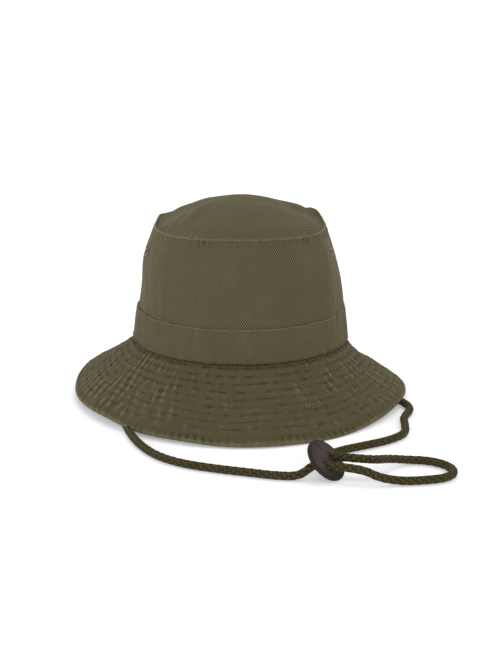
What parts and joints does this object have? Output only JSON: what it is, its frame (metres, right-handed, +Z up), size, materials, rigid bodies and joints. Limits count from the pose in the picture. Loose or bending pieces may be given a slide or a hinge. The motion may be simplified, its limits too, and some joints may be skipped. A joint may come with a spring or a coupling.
{
  "type": "bucket hat",
  "caption": "Washed cotton bucket hat with domed oval tip, side band, stitched sloping brim, vent eyelets and a braided chin cord with a sliding disc toggle.",
  "frame": {"origin": "on the table under the middle of the crown", "axes": "+Z up, -Y towards the wearer's front, +X towards the side the cord's loop lies on"},
  "size_m": [0.3041, 0.3978, 0.1662],
  "materials": {
    "crown_twill": "olive washed cotton twill, piece dyed",
    "brim_twill": "olive washed cotton twill, sewn in close rows",
    "interlining": "undyed woven cotton interlining",
    "sweatband_cotton": "olive plain-weave cotton, turned and stitched",
    "seam_tape": "olive cotton tape with a fine rib",
    "label_satin": "blank woven satin",
    "eyelet_brass": "antique brass, dull in its recesses",
    "cord_braid": "dark olive round braid",
    "toggle_leather": "dark brown stamped leather with polished edge"
  },
  "bodies": {
    "hat": {"crown_tip": "crown_twill", "crown_side_front": "crown_twill", "crown_side_rear": "crown_twill", "hat_band": "crown_twill", "brim_upper_front": "brim_twill", "brim_upper_rear": "brim_twill", "brim_lower_front": "brim_twill", "brim_lower_rear": "brim_twill", "brim_stiffener_front": "interlining", "brim_stiffener_rear": "interlining", "sweatband": "sweatband_cotton", "tip_seam_tape": "seam_tape", "side_seam_tape_left": "seam_tape", "side_seam_tape_right": "seam_tape", "size_label": "label_satin", "eyelet_right_front": "eyelet_brass", "eyelet_washer_right_front": "eyelet_brass", "eyelet_right_rear": "eyelet_brass", "eyelet_washer_right_rear": "eyelet_brass", "eyelet_left_rear": "eyelet_brass", "eyelet_washer_left_rear": "eyelet_brass", "eyelet_left_front": "eyelet_brass", "eyelet_washer_left_front": "eyelet_brass", "cord_tab_left": "crown_twill", "cord_tab_right": "crown_twill", "chin_cord": "cord_braid"},
    "toggle": {"toggle": "toggle_leather"}
  },
  "joints": [
    {"name": "toggle_slide", "type": "slide", "parent": "hat", "child": "toggle", "axis": [0.9538, -0.3004, 0], "range_m": [0, 0.014]}
  ]
}
